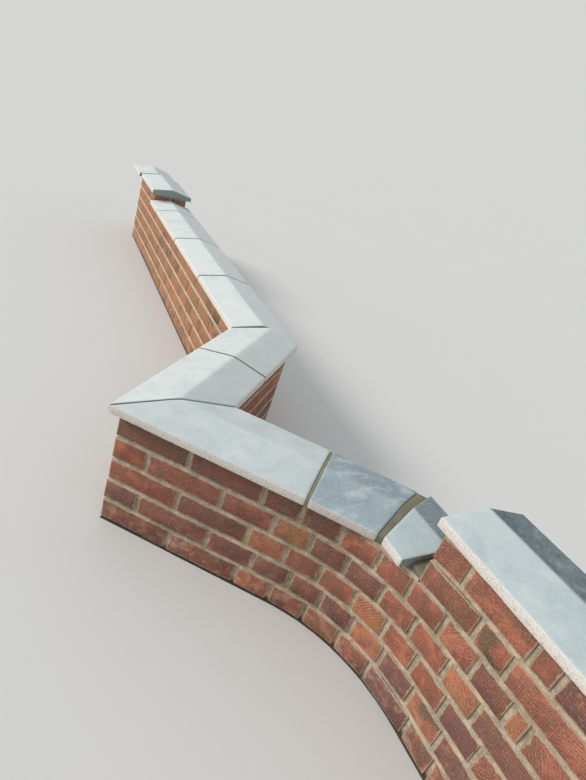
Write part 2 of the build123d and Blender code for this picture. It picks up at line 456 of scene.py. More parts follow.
def makeBrickMaterial():
    finish = brickFinish
    material, tree, shader, place = newMaterial("dragFacedBrick", finish["roughness"])
    own = attributeOf(tree, "brickPlace")
    look, burning, chance = splitVector(tree, attributeOf(tree, "brickLook"))
    grain = useGroup(tree, grainTree, own, finish["grain"])

    # The middle one of the three distances to a brick's sides is the way to the nearest arris.
    away = vectorMath(tree, "ABSOLUTE", attributeOf(tree, "fromCentre"))
    room = vectorMath(tree, "SUBTRACT", attributeOf(tree, "halfSize"), away)
    x, y, z = splitVector(tree, room)
    nearer, farther = valueMath(tree, "MINIMUM", x, y), valueMath(tree, "MAXIMUM", x, y)
    toArris = valueMath(tree, "MAXIMUM", nearer, valueMath(tree, "MINIMUM", farther, z))

    angle = valueMath(tree, "FRACT", times(tree, chance, finish["turnDraw"]))
    inputs = {"Vector": own, "Angle": swing(tree, angle, finish["lineTurn"])}
    turned = addNode(tree, "ShaderNodeVectorRotate", inputs, rotation_type="Y_AXIS").outputs[0]
    inputs = {"Vector": turned, **finish["lines"]}
    bands = addNode(tree, "ShaderNodeTexWave", inputs, bands_direction="Z").outputs["Fac"]
    keen = valueMath(tree, "FRACT", times(tree, chance, finish["keenDraw"]))
    keen = remap(tree, keen, *finish["keenness"])
    keen = valueMath(tree, "MAXIMUM", keen, remap(tree, look, *finish["keenTones"]))
    fading = noiseOf(tree, own, *finish["fadingNoise"])
    strength = maskOf(tree, fading, *finish["fading"], keen)
    groove = maskOf(tree, bands, *finish["grooves"], strength)
    ridge = maskOf(tree, bands, *finish["ridgeHighlights"], strength)

    tone = plus(tree, look, swing(tree, grain["Blotches"], finish["blotchReach"]), True)
    patch = remap(tree, noiseOf(tree, own, *finish["patchNoise"]), *finish["patches"])
    pits = noiseOf(tree, own, *finish["pitNoise"])
    edge = remap(tree, toArris, *finish["edge"])
    worn = useGroup(tree, wearTree, own, {"Edge": edge, **finish["wear"]})["Worn"]
    ragged = swing(tree, noiseOf(tree, own, *finish["smearNoise"]), *finish["smearReach"])
    foot = useGroup(tree, dirtTree, place, finish["foot"])
    bloom = times(tree, foot["Dirt"], foot["Patches"])
    layers = [
        (times(tree, patch, burning, True), "burnt"),
        # Painted highlight along the ridges of the drag lines.
        (times(tree, ridge, finish["ridgeHighlightShare"]), "bloom"),
        # Grooves and pits are darkened, partly their own colour and partly painted shade.
        (times(tree, groove, finish["grooveShadeShare"]), "line"),
        (maskOf(tree, pits, *finish["shadedHollows"]), "line"),
        (maskOf(tree, pits, *finish["flecks"]), "bloom"),
        (times(tree, grain["Grain"], finish["grainShare"]), "burnt"),
        (worn, "bloom"),
        (maskOf(tree, minus(tree, toArris, ragged), *finish["smears"]), "smear"),
        (times(tree, bloom, finish["footShare"]), "bloom"),
    ]
    colour = overlaid(tree, rampOf(tree, tone, finish["tones"]), finish, layers)
    rough = remap(tree, pits, *finish["roughnessOfPits"])
    tree.links.new(rough, shader.inputs["Roughness"])
    bumps = [
        (minus(tree, 1.0, groove), finish["lineBump"]),
        (pits, finish["pitBump"]),
        (grain["Grain"], finish["grainBump"]),
    ]
    finishMaterial(tree, shader, colour, bumps)
    return material


mortarFinish = {
    "tones": [
        (0.0, (0.300, 0.265, 0.175)),
        (0.5, (0.500, 0.410, 0.298)),
        (1.0, (0.715, 0.565, 0.415)),
    ],
    "green": (0.270, 0.265, 0.160),
    "grime": (0.060, 0.050, 0.042),
    "lime": (0.820, 0.760, 0.660),
    "damp": (0.300, 0.265, 0.175),
    "roughness": 0.95,
    "grain": {"Scale": 520.0, "Sharpness": 0.2},
    "blotchReach": 0.8,
    "grainShare": 0.16,
    "filmNoise": (7.0, 4.0, 0.6),
    "film": (0.52, 0.68, 0.45),
    "speckNoise": (190.0, 4.0, 0.72),
    "paleSpecks": (0.54, 0.66, 0.5),
    "darkSpecks": (0.46, 0.36, 0.45),
    "foot": {"Reach": 0.03, "Scale": 30.0},
    "filmBump": (0.002, 0.5),
    "grainBump": (0.0008, 0.9),
}


def makeMortarMaterial():
    finish = mortarFinish
    material, tree, shader, place = newMaterial("buffMortar", finish["roughness"])
    grain = useGroup(tree, grainTree, place, finish["grain"])
    drift = swing(tree, grain["Blotches"], finish["blotchReach"])
    tone = plus(tree, attributeOf(tree, "mortarLook", "Fac"), drift, True)
    film = noiseOf(tree, place, *finish["filmNoise"])
    specks = noiseOf(tree, place, *finish["speckNoise"])
    layers = [
        (maskOf(tree, film, *finish["film"]), "green"),
        (times(tree, grain["Grain"], finish["grainShare"]), "grime"),
        (maskOf(tree, specks, *finish["paleSpecks"]), "lime"),
        (maskOf(tree, specks, *finish["darkSpecks"]), "damp"),
        (useGroup(tree, dirtTree, place, finish["foot"])["Dirt"], "grime"),
    ]
    colour = overlaid(tree, rampOf(tree, tone, finish["tones"]), finish, layers)
    bumps = [(film, finish["filmBump"]), (grain["Grain"], finish["grainBump"])]
    finishMaterial(tree, shader, colour, bumps)
    return material


stoneFinish = {
    # Tones run from the darkest near stone to the whitest far one, and carry painted sun and shade
    # as well as the stones' own tone.
    "tones": [
        (0.0, (0.300, 0.385, 0.430)),
        (0.5, (0.480, 0.570, 0.600)),
        (1.0, (0.770, 0.810, 0.795)),
    ],
    # Dark film of the back slopes, partly dirt and partly painted shade.
    "film": (0.090, 0.130, 0.155),
    "edge": (0.670, 0.620, 0.570),
    # Cream of the side faces, partly painted sunlight.
    "sunlitCream": (0.820, 0.765, 0.695),
    # Dark grey of the cut ends, partly damp stone and partly painted shade.
    "cut": (0.270, 0.305, 0.305),
    "pit": (0.330, 0.260, 0.220),
    "streak": (0.780, 0.820, 0.820),
    "dirt": (0.200, 0.210, 0.185),
    "roughness": 0.82,
    "grain": {"Scale": 340.0, "Sharpness": 0.22},
    "grainShare": 0.16,
    "cloudNoise": (9.0, 4.0, 0.6, 0.8),
    "cloudReach": 0.7,
    "shadedBackSlope": (-0.03, 0.09),
    "cloudyFilmAndShade": (0.2, 0.8, 0.7, 1.0),
    "streakStretch": (1.0, 0.45, 1.0),
    "streakNoise": (17.0, 7.0, 0.68, 0.5),
    "streaks": (0.46, 0.72),
    "scuffNoise": (110.0, 5.0, 0.75, 0.3),
    "scuffs": (0.46, 0.76, 0.3),
    "sides": (0.75, 0.45),
    "shadedCutEnds": (0.99, 0.97),
    "pitNoise": (230.0, 3.0, 0.75),
    "pits": (0.5, 0.34, 0.6),
    "wear": {"Scale": 45.0, "Amount": 0.5},
    "cloudBump": (0.002, 0.3),
    "scuffBump": (0.0006, 0.4),
    "grainBump": (0.0005, 0.6),
}


def makeStoneMaterial():
    finish = stoneFinish
    material, tree, shader, place = newMaterial("castStone", finish["roughness"])
    across = attributeOf(tree, "across", "Fac")
    light, filmAndShade, streaked = splitVector(tree, attributeOf(tree, "stoneLook"))
    grain = useGroup(tree, grainTree, place, finish["grain"])
    clouds = noiseOf(tree, place, *finish["cloudNoise"])
    tone = plus(tree, light, swing(tree, clouds, finish["cloudReach"]), True)

    # The back slope carries a dark film, partly dirt and partly painted shade, and the top some
    # pale streaks and scuffs.
    cloudyFilmAndShade = remap(tree, clouds, *finish["cloudyFilmAndShade"])
    film = maskOf(tree, across, *finish["shadedBackSlope"], cloudyFilmAndShade)
    drawn = vectorMath(tree, "MULTIPLY", place, finish["streakStretch"])
    streak = remap(tree, noiseOf(tree, drawn, *finish["streakNoise"]), *finish["streaks"])
    scuff = maskOf(tree, noiseOf(tree, place, *finish["scuffNoise"]), *finish["scuffs"])
    layers = [
        (times(tree, film, filmAndShade, True), "film"),
        (times(tree, streak, streaked, True), "streak"),
        (scuff, "streak"),
    ]
    colour = overlaid(tree, rampOf(tree, tone, finish["tones"]), finish, layers)

    # Side faces are pitted and cream, partly their own colour and partly painted sunlight, and cut
    # ends are darker, partly damp grey and partly painted shade.
    upward = splitVector(tree, addNode(tree, "ShaderNodeNewGeometry").outputs["Normal"])[2]
    pitted = maskOf(tree, noiseOf(tree, place, *finish["pitNoise"]), *finish["pits"])
    cutEnd = remap(tree, valueMath(tree, "ABSOLUTE", across), *finish["shadedCutEnds"])
    # Side colours follow the stone's lightness, so they too carry painted sun and shade.
    sideColourWithSunAndShade = mixColour(tree, light, finish["edge"], finish["sunlitCream"])
    sideColourWithSunAndShade = overlaid(tree, sideColourWithSunAndShade, finish, [(pitted, "pit"), (cutEnd, "cut")])
    colour = mixColour(tree, remap(tree, upward, *finish["sides"]), colour, sideColourWithSunAndShade)
    edge = attributeOf(tree, "arris", "Fac")
    worn = useGroup(tree, wearTree, place, {"Edge": edge, **finish["wear"]})["Worn"]
    layers = [(times(tree, grain["Grain"], finish["grainShare"]), "dirt"), (worn, "streak")]
    colour = overlaid(tree, colour, finish, layers)
    bumps = [
        (clouds, finish["cloudBump"]),
        (scuff, finish["scuffBump"]),
        (grain["Grain"], finish["grainBump"]),
    ]
    finishMaterial(tree, shader, colour, bumps)
    return material


jointFinish = {
    "tones": [
        (0.0, (0.085, 0.082, 0.070)),
        (0.5, (0.210, 0.195, 0.125)),
        (1.0, (0.330, 0.310, 0.215)),
    ],
    "sand": (0.460, 0.430, 0.330),
    "roughness": 0.96,
    "grain": {"Scale": 480.0, "Sharpness": 0.2},
    "grainShare": 0.3,
    "filmNoise": (18.0, 3.0, 0.6),
    "filmReach": 0.8,
    "blotchBump": (0.002, 0.6),
    "grainBump": (0.0008, 0.9),
}


def makeJointMaterial():
    finish = jointFinish
    material, tree, shader, place = newMaterial("weatheredPointing", finish["roughness"])
    light = splitVector(tree, attributeOf(tree, "stoneLook"))[0]
    grain = useGroup(tree, grainTree, place, finish["grain"])
    film = noiseOf(tree, place, *finish["filmNoise"])
    tone = plus(tree, light, swing(tree, film, finish["filmReach"]), True)
    layers = [(times(tree, grain["Grain"], finish["grainShare"]), "sand")]
    colour = overlaid(tree, rampOf(tree, tone, finish["tones"]), finish, layers)
    bumps = [(grain["Blotches"], finish["blotchBump"]), (grain["Grain"], finish["grainBump"])]
    finishMaterial(tree, shader, colour, bumps)
    return material


brickMaterial = makeBrickMaterial()
mortarMaterial = makeMortarMaterial()
stoneMaterial = makeStoneMaterial()
jointMaterial = makeJointMaterial()
print("materials made")


# Meshes are made from points and faces, with the attributes that trees and materials read.
def newPiece(name, points, faces, attributes):
    mesh = bpy.data.meshes.new(name)
    mesh.from_pydata([tuple(map(float, point)) for point in points], [], faces)
    for label, values in attributes.items():
        values = np.asarray(values, np.float32)
        isVector = values.ndim == 2
        store = mesh.attributes.new(label, "FLOAT_VECTOR" if isVector else "FLOAT", "POINT")
        store.data.foreach_set("vector" if isVector else "value", values.ravel())
    piece = bpy.data.objects.new(name, mesh)
    bpy.context.scene.collection.objects.link(piece)
    return piece


def dropAttributes(piece, names):
    for name in names:
        store = piece.data.attributes.get(name)
        if store is not None:
            piece.data.attributes.remove(store)


# Face lines of the brickwork: a point and its heading at a distance along the face.
def nearFace(distance):
    if distance <= curveStart:
        return runPoint(frontRun, distance), 45.0
    if distance >= curveFinish:
        return runPoint(nearRun, curveEndX + distance - curveFinish), 0.0
    turned = math.degrees((distance - curveStart) / curveRadius)
    return curveCentre + curveRadius * unitAt(135 - turned), 45 - turned


def returnFace(distance):
    return runPoint(returnRun, distance), -45.0


farArcStart = farRadius - farLength
farArcCentre = runPoint(farRun, farArcStart, farRadius)
farFaceStart = farArcStart - farRadius * math.radians(90) - (thickness - farRadius)


def farFace(distance):
    if distance >= farArcStart:
        return farBack(distance)
    turned = math.degrees((farArcStart - distance) / farRadius)
    if turned >= 90:
        beyond = (math.radians(turned) - math.radians(90)) * farRadius
        return runPoint(farRun, -farLength, farRadius + beyond), farBend - 90
    return farArcCentre + farRadius * unitAt(farBend - 90 - turned), farBend - turned


# The back leaf of the far run is straight to its end.
def farBack(distance):
    return runPoint(farRun, distance), farBend


brickwork = {
    "joint": 0.010,
    "leaf": 0.1025,
    "stretcher": 0.225,
    "longestHeader": 0.125,
    "endRoom": 0.04,
    "lastSpare": 0.05,
    # Perpends nearer than this to a tangent point give way to one there.
    "nearCurve": 0.05,
    "curveBackBricks": 6,
    "curveBackRoom": 0.02,
    "farArcBricks": 4,
    "sizeSpread": 0.0014,
    "standProud": 0.0008,
    "twist": 0.3,
    "kindSpread": 0.05,
    "farTone": (1.02, 0.12),
    "nearTone": (0.44, 0.18),
    "seed": 11,
}
leaf, joint, stretcher = (brickwork[key] for key in ("leaf", "joint", "stretcher"))
nearCurve = brickwork["nearCurve"]
brickRandom = random.Random(brickwork["seed"])
bricks = {}

# Kinds of brick: how far from purple to orange the colour lies, and how much is burnt dark.
brickKinds = {
    "purple": (0.02, 0.2),
    "plum": (0.17, 0.2),
    "brown": (0.28, 0.75),
    "red": (0.50, 0.15),
    "bright": (0.67, 0.1),
    "orange": (0.86, 0.2),
    "mixed": (0.64, 1.0),
}


# A brick's ends lie square to its face, or along the ways that are given.
def layBrick(node, face, start, finish, depths, number, ways, look):
    (first, firstHeading), (last, lastHeading) = face(start), face(finish)
    chord = last - first
    along = chord / np.linalg.norm(chord)
    into = np.array([-along[1], along[0]])
    skews = []
    for way, heading in zip(ways, (firstHeading, lastHeading)):
        way = unitAt(heading + 90) if way is None else way
        skews.append(float(way @ along) / float(way @ into))
    near, far = depths
    spread = brickwork["sizeSpread"]
    trimStart, trimFinish = (brickRandom.uniform(0, spread) for _ in range(2))
    proud = brickRandom.uniform(-1, 1) * brickwork["standProud"]
    left = trimStart + near * skews[0]
    right = np.linalg.norm(chord) - trimFinish + near * skews[1]
    front = proud if near == 0 else near
    corner = first + along * left + into * front
    drop = brickRandom.uniform(0, spread)
    base = (corner[0], corner[1], number * course + bedJoint + drop / 2)
    turn = math.atan2(along[1], along[0])
    turn += math.radians(brickRandom.uniform(-1, 1) * brickwork["twist"])
    tone = brickRandom.gauss(*brickwork["farTone" if node.startswith("far") else "nearTone"])
    patch = brickRandom.random() ** 2
    if look is not None:
        tone, patch = brickKinds[look]
        tone += brickRandom.uniform(-brickwork["kindSpread"], brickwork["kindSpread"])
    size = (right - left, far - front, wallSizes["brickHeight"] - drop)
    look = (min(max(tone, 0.0), 1.0), patch, brickRandom.random())
    bricks.setdefault(node, []).append((base, size, (*skews, turn), look))


def layRow(nodeAt, face, perpends, span, depthsOf, number, ways, looks=()):
    start, finish = span
    room = brickwork["endRoom"]
    inside = [p for p in perpends if start + room < p < finish - room]
    stops = [start - joint / 2, *inside, finish + joint / 2]
    for index, (low, high) in enumerate(zip(stops, stops[1:])):
        depths = depthsOf(low, high)
        if depths is None:
            continue
        ownWays = (
            ways[0] if index == 0 else None,
            ways[1] if index == len(stops) - 2 else None,
        )
        look = looks[index] if index < len(looks) else None
        node = nodeAt((low + high) / 2)
        layBrick(node, face, low + joint / 2, high - joint / 2, depths, number, ownWays, look)


# A course has a row of bricks on the face and one behind, save where a brick lies right through.
def layCourse(nodeAt, faces, perpends, backPerpends, span, backSpan, number,
              throughAt=None, ways=(None, None), looks=()):
    through = []

    def frontDepths(low, high):
        if throughAt is None or not throughAt(low, high):
            return 0, leaf
        through.append((low, high))
        return 0, thickness

    def backDepths(low, high):
        taken = any(a < (low + high) / 2 < b for a, b in through)
        return None if taken else (thickness - leaf, thickness)

    layRow(nodeAt, faces[0], perpends, span, frontDepths, number, ways, looks)
    layRow(nodeAt, faces[-1], backPerpends, backSpan, backDepths, number, ways)


def carriedOn(perpends, finish, headerAtEnd):
    placed = list(perpends)
    limit = finish - (leaf + joint / 2 if headerAtEnd else 0)
    while limit - placed[-1] > stretcher + brickwork["lastSpare"]:
        placed.append(placed[-1] + stretcher)
    return placed + [limit] if headerAtEnd else placed


# Perpends of the planter's front, the curve and the near run, from the nose on, foot course first.
# The last two courses are those of the near raised end.
nearPerpends = [
    [0.226, 0.448, 0.560, 0.672, 0.784, 0.892, 1.051, 1.149],
    [0.105, 0.338, 0.482, 0.599, 0.698, 0.804, 0.908, 1.018, 1.125],
    [0.223, 0.444, 0.560, 0.667, 0.775, 0.880, 0.983, 1.091, 1.201],
    [0.112, 0.342, 0.500, 0.612, 0.720, 0.832, 0.935, 1.050, 1.152],
    [0.226, 0.449, 0.561, 0.676, 0.784, 0.883, 0.991, 1.096, 1.198, 1.244],
    [1.055, 1.148],
    [0.978, 1.167, 1.229],
]
returnPerpends = [[0.200, 0.315, 0.4775], [0.135, 0.360, 0.585]]

# What each brick is like, in the same order. In every second low course the first is the return's.
nearLooks = [
    "",
    "plum brown plum plum brown purple bright purple mixed plum",
    "red brown orange red red orange bright red purple red red",
    "bright red red orange brown plum red red orange plum red",
    "brown plum brown brown bright red red bright plum orange red",
    "red mixed red red",
    "red red red plum",
]


def lowNode(distance):
    if distance < curveStart:
        return "front_wall"
    return "curved_wall" if distance < curveFinish else "near_run_wall"


def raisedNode(distance):
    return "near_raised_curve" if distance < curveFinish else "near_raised_wall"


def isHeader(low, high):
    straight = high < curveStart - nearCurve or low > curveFinish + nearCurve
    return straight and low > thickness and high - low < brickwork["longestHeader"]


# The back of the curve is longer than its face, and is laid in short bricks of its own.
def backPlaces(number, placed, low):
    count = brickwork["curveBackBricks"]
    pitch = (curveFinish - curveStart) / count
    shift = pitch / 2 if number % 2 else 0.0
    short = [curveStart + shift + pitch * n for n in range(count)]
    short = [p for p in short if p > low + brickwork["curveBackRoom"]]
    short += [] if number % 2 else [curveFinish]
    straight = [p for p in placed if p < curveStart - nearCurve or p > curveFinish + nearCurve]
    return sorted(straight + short)


# How far round the curve the near raised end starts, in radians from the near run.
def raisedTurn(radius):
    return math.asin((curveEndX - raisedEndX) / radius)


raisedStart = curveFinish - curveRadius * raisedTurn(curveRadius)
raisedBackStart = curveFinish - curveRadius * raisedTurn(backRadius)
for number, given in enumerate(nearPerpends):
    leads, raised = number % 2 == 0, number >= lowCourses
    placed = carriedOn(given, nearFinish, leads)
    looks = nearLooks[number].split()
    start, backStart = (0, thickness + joint) if leads else (leaf + joint, leaf + joint)
    if raised:
        start = backStart = raisedStart
    layCourse(
        raisedNode if raised else lowNode,
        [nearFace],
        placed,
        backPlaces(number, placed, raisedBackStart if raised else curveStart - nearCurve),
        (start, nearFinish),
        (backStart, nearFinish),
        number,
        isHeader,
        (unitAt(90) if raised else None, None),
        looks if leads or raised else looks[1:],
    )

# The return and the far run, mitred where they meet.
innerMitre = unitAt((farBend - 45) / 2 + 90)
for number in range(lowCourses):
    leads = number % 2 == 1
    placed = returnPerpends[number % 2]
    short = planterLeg - leaf - joint
    layCourse(
        lambda distance: "return_wall",
        [returnFace],
        placed,
        placed,
        (joint / 2, planterLeg if leads else short),
        (joint / 2, planterLeg - thickness - joint if leads else short),
        number,
        ways=(innerMitre, None),
        looks=[None] * len(placed) + (nearLooks[number].split()[:1] if leads else []),
    )

farArcPitch = (farArcStart - farFaceStart) / brickwork["farArcBricks"]
for number in range(lowCourses + wallSizes["farRaisedCourses"]):
    raised = number >= lowCourses
    finish = farRaisedStart if raised else -joint / 2
    first = stretcher / 2 if number % 2 else stretcher
    placed = [-first - stretcher * n for n in range(math.ceil(farLength / stretcher))]
    placed = [p for p in placed if farArcStart + nearCurve < p < finish - nearCurve]
    shift = 0.5 if number % 2 else 0.0
    onArc = [farArcStart - farArcPitch * (n + shift) for n in range(brickwork["farArcBricks"])]
    layCourse(
        lambda distance: "far_raised_course" if raised else "far_run_wall",
        [farFace, farBack],
        sorted(onArc + placed),
        sorted(placed if number % 2 else [farArcStart] + placed),
        (farFaceStart, finish),
        (leaf - farLength, finish),
        number,
        ways=(None, None if raised else innerMitre),
    )
print("bricks set out:", sum(len(laid) for laid in bricks.values()))

brickShape = {
    "Arris": 0.0018,
    "Waviness": 0.0012,
    "Creases": 0.0006,
    "Chips": 0.006,
}
brickGrid = {
    "cells": (5, 3, 3),
    "draw": (53.0, 1.0, 31.0),
    "waves": (24.0, 2.0),
    "waveReach": 2.0,
    "creaseStretch": (0.3, 1.0, 1.0),
    "creases": (60.0, 3.0, 0.6, 1.0),
    "creaseReach": 4.0,
    "chips": (34.0, 2.0),
    "chipStart": 0.52,
    "chipReach": -3.0,
    "edgeSpan": 0.41,
}


def stored(tree, geometry, name, value):
    inputs = {"Geometry": geometry, "Name": name, "Value": value}
    kinds = {"data_type": "FLOAT_VECTOR", "domain": "POINT"}
    return addNode(tree, "GeometryNodeStoreNamedAttribute", inputs, **kinds).outputs["Geometry"]


def makeBrickTree():
    tree, entry, leave = newShaper("layBricks", brickShape)
    grid, cells = brickGrid, brickGrid["cells"]
    counts = {f"Vertices {axis}": count + 1 for axis, count in zip("XYZ", cells)}
    cube = addNode(tree, "GeometryNodeMeshCube", {"Size": (2.0, 2.0, 2.0), **counts})
    position = addNode(tree, "GeometryNodeInputPosition").outputs[0]
    inputs = {
        "Points": stored(tree, entry["Geometry"], "brickBase", position),
        "Instance": stored(tree, cube.outputs["Mesh"], "unitPlace", position),
    }
    laid = addNode(tree, "GeometryNodeInstanceOnPoints", inputs).outputs[0]
    geometry = addNode(tree, "GeometryNodeRealizeInstances", {"Geometry": laid}).outputs[0]
    unit, size, skew = (named(tree, name) for name in ("unitPlace", "brickSize", "brickSkew"))
    look, base = (named(tree, name) for name in ("brickLook", "brickBase"))

    # Grid lines move so that the outermost lie one arris from the edge, and the edge is rounded.
    ring = tuple(1 - 2 / count for count in cells)
    flat = vectorMath(tree, "MINIMUM", unit, ring)
    flat = vectorMath(tree, "MAXIMUM", flat, tuple(-r for r in ring))
    outer = vectorMath(tree, "SUBTRACT", unit, flat)
    outer = vectorMath(tree, "DIVIDE", outer, tuple(1 - r for r in ring))
    half = scaled(tree, size, 0.5)
    radius = joinVector(tree, entry["Arris"], entry["Arris"], entry["Arris"])
    inner = vectorMath(tree, "SUBTRACT", half, radius)
    inner = vectorMath(tree, "MULTIPLY", vectorMath(tree, "DIVIDE", flat, ring), inner)
    facing = vectorMath(tree, "NORMALIZE", outer)
    rim = scaled(tree, facing, entry["Arris"])
    local = vectorMath(tree, "ADD", vectorMath(tree, "ADD", half, inner), rim)

    # Every brick takes its unevenness from a place of its own in the noise.
    place = scaled(tree, grid["draw"], splitVector(tree, look)[2])
    place = vectorMath(tree, "ADD", local, place)
    waves = noiseOf(tree, place, *grid["waves"], output="Color")
    waves = vectorMath(tree, "SUBTRACT", waves, (0.5, 0.5, 0.5))
    waves = scaled(tree, waves, times(tree, entry["Waviness"], grid["waveReach"]))
    drawn = vectorMath(tree, "MULTIPLY", place, grid["creaseStretch"])
    crease = swing(tree, noiseOf(tree, drawn, *grid["creases"]), entry["Creases"])
    crease = times(tree, crease, grid["creaseReach"])
    crease = joinVector(tree, 0.0, times(tree, crease, splitVector(tree, outer)[1]), 0.0)
    edge = minus(tree, vectorMath(tree, "LENGTH", outer), 1.0)
    edge = valueMath(tree, "DIVIDE", edge, grid["edgeSpan"], True)
    chips = minus(tree, noiseOf(tree, place, *grid["chips"]), grid["chipStart"])
    chips = times(tree, valueMath(tree, "MAXIMUM", chips, 0.0), edge)
    chips = times(tree, times(tree, chips, entry["Chips"]), grid["chipReach"])
    for move in (waves, crease, scaled(tree, facing, chips)):
        local = vectorMath(tree, "ADD", local, move)

    # Ends are cut to their skew, and the brick is turned and carried to its bed.
    x, y, z = splitVector(tree, local)
    startSkew, finishSkew, turn = splitVector(tree, skew)
    share = valueMath(tree, "DIVIDE", x, splitVector(tree, size)[0])
    skewed = times(tree, minus(tree, finishSkew, startSkew), share)
    x = plus(tree, x, times(tree, plus(tree, skewed, startSkew), y))
    inputs = {"Vector": joinVector(tree, x, y, z), "Angle": turn}
    turned = addNode(tree, "ShaderNodeVectorRotate", inputs, rotation_type="Z_AXIS").outputs[0]
    centred = vectorMath(tree, "ADD", inner, rim)
    kept = {"brickPlace": place, "fromCentre": centred, "halfSize": half}
    for name, value in kept.items():
        geometry = stored(tree, geometry, name, value)
    move = {"Geometry": geometry, "Position": vectorMath(tree, "ADD", turned, base)}
    return moveAndFinish(tree, entry, leave, move, True)


brickTree = makeBrickTree()
for node, laid in bricks.items():
    words = node.split("_")
    name = words[0] + "".join(word.capitalize() for word in words[1:]) + "Bricks"
    bases, *values = zip(*laid)
    attributes = dict(zip(("brickSize", "brickSkew", "brickLook"), values))
    piece = newPiece(name, bases, [], attributes)
    runTree(piece, brickTree, {**brickShape, "Material": brickMaterial})
    dropAttributes(piece, ("unitPlace", "brickBase", "brickSize", "brickSkew"))
    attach(piece, "root")
    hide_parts(node)
    print(name, len(laid), "bricks,", len(piece.data.polygons), "faces")


# Mortar: a core a little behind the brick faces, which shows as the joints, and the beds.
mortarSizes = {
    "struck": 0.0008,
    "recess": 0.0050,
    "bedRecess": 0.002,
    "bedShare": 0.9,
    "headGap": 0.0015,
    "tolerance": 0.001,
    "cell": 0.012,
    "rowsPerBrick": 4,
    "farArcSteps": 8,
    "wholeCurveSteps": 18,
    "lowCurveSteps": 14,
    "raisedCurveSteps": 8,
    "Roughness": 0.0014,
    "lumps": (38.0, 3.0, 0.6),
    "lumpReach": 2.0,
}
mortarLooks = {
    "farRunMortar": 0.85,
    "returnMortar": 0.6,
    "frontMortar": 0.74,
    "curveMortar": 0.56,
    "nearRunMortar": 0.56,
}


def insetOutline(outline, recesses):
    lines = []
    for index, first in enumerate(outline):
        second = outline[(index + 1) % len(outline)]
        along = (second - first) / np.linalg.norm(second - first)
        inward = np.array([-along[1], along[0]])
        lines.append((first + inward * recesses[index], along))
    placed = []
    for index, (b, db) in enumerate(lines):
        a, da = lines[index - 1]
        cross = da[0] * db[1] - da[1] * db[0]
        if abs(cross) < 1e-4:
            placed.append(b)
            continue
        away = b - a
        placed.append(a + da * (away[0] * db[1] - away[1] * db[0]) / cross)
    return placed


# Levels are given as a height and as the share, from flush to deep, of the recess there.
def bedLevels(bottom, top):
    return [(bottom, 1.0), (top, 1.0)]


# A struck joint: nearly flush at its foot and deepest at its head, and deep between two bricks.
def struckLevels(bottom, top):
    tall, rows = wallSizes["brickHeight"], mortarSizes["rowsPerBrick"]
    tolerance = mortarSizes["tolerance"]
    levels = []
    for number in range(round(bottom / course), math.ceil(top / course)):
        foot = number * course
        levels += [(foot, 0.0), (foot + bedJoint * mortarSizes["bedShare"], 1.0)]
        levels += [(foot + bedJoint + tall * n / rows, 1.0) for n in range(1, rows)]
        levels.append((foot + course - mortarSizes["headGap"], 1.0))
    levels = [level for level in levels if level[0] < top - tolerance]
    return levels + [(top, 0.0 if top % course < tolerance else 1.0)]


def shellOf(outline, hidden, levels, sizes):
    sides = range(len(outline))
    flush, deep = (
        insetOutline(outline, [0.0 if side in hidden else size for side in sides])
        for size in sizes
    )
    plans, outward = ([], []), []
    for side in sides:
        following = (side + 1) % len(outline)
        length = np.linalg.norm(flush[following] - flush[side])
        along = (flush[following] - flush[side]) / length
        steps = 1 if side in hidden else max(1, round(length / mortarSizes["cell"]))
        for step in range(steps):
            for plan, corners in zip(plans, (flush, deep)):
                plan.append(corners[side] + (corners[following] - corners[side]) * step / steps)
            outward.append(np.array([along[1], -along[0]]))
    count = len(outward)
    pushes = []
    for index in range(count):
        push = outward[index] + outward[index - 1]
        push = push / max(np.linalg.norm(push), 1e-6)
        pushes.append((push[0], push[1], 0.0))
    points = []
    for height, share in levels:
        for near, far in zip(*plans):
            points.append((*(near + (far - near) * share), height))
    rows = len(levels) - 1
    faces = [list(range(count))[::-1], [rows * count + index for index in range(count)]]
    for row in range(rows):
        low, high = row * count, (row + 1) * count
        for index in range(count):
            following = (index + 1) % count
            faces.append([low + index, low + following, high + following, high + index])
    return points, faces, pushes * len(levels)


def wallShell(outline, hidden, levels):
    return shellOf(outline, hidden, levels, (mortarSizes["struck"], mortarSizes["recess"]))


def bedShell(outline, hidden):
    levels = bedLevels(lowTop, lowUnderside)
    return shellOf(outline, hidden, levels, (0.0, mortarSizes["bedRecess"]))


def makeMortarTree():
    tree, entry, leave = newShaper("roughenMortar", ["Roughness"])
    position = addNode(tree, "GeometryNodeInputPosition").outputs[0]
    lumps = swing(tree, noiseOf(tree, position, *mortarSizes["lumps"]), mortarSizes["lumpReach"])
    offset = scaled(tree, named(tree, "away"), times(tree, lumps, entry["Roughness"]))
    move = {"Geometry": entry["Geometry"], "Offset": offset}
    return moveAndFinish(tree, entry, leave, move, False)


mortarTree = makeMortarTree()


def joined(parts):
    points, faces = [], []
    for partPoints, partFaces, *_ in parts:
        first = len(points)
        points += list(partPoints)
        faces += [[first + corner for corner in face] for face in partFaces]
    return points, faces


def makeMortar(name, shells, nodes):
    points, faces = joined(shells)
    away = [push for shell in shells for push in shell[2]]
    look = np.full(len(points), mortarLooks[name])
    piece = newPiece(name, points, faces, {"away": away, "mortarLook": look})
    runTree(piece, mortarTree, {"Roughness": mortarSizes["Roughness"], "Material": mortarMaterial})
    dropAttributes(piece, ("away",))
    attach(piece, "root")
    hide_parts(*nodes)
    print(name, len(piece.data.polygons), "faces")


def arcPoints(centre, radius, fromAngle, toAngle, count):
    angles = [fromAngle + (toAngle - fromAngle) * n / count for n in range(count + 1)]
    return [centre + radius * unitAt(angle) for angle in angles]


def outlineOf(run, *places):
    return [runPoint(run, x, y) for x, y in places]


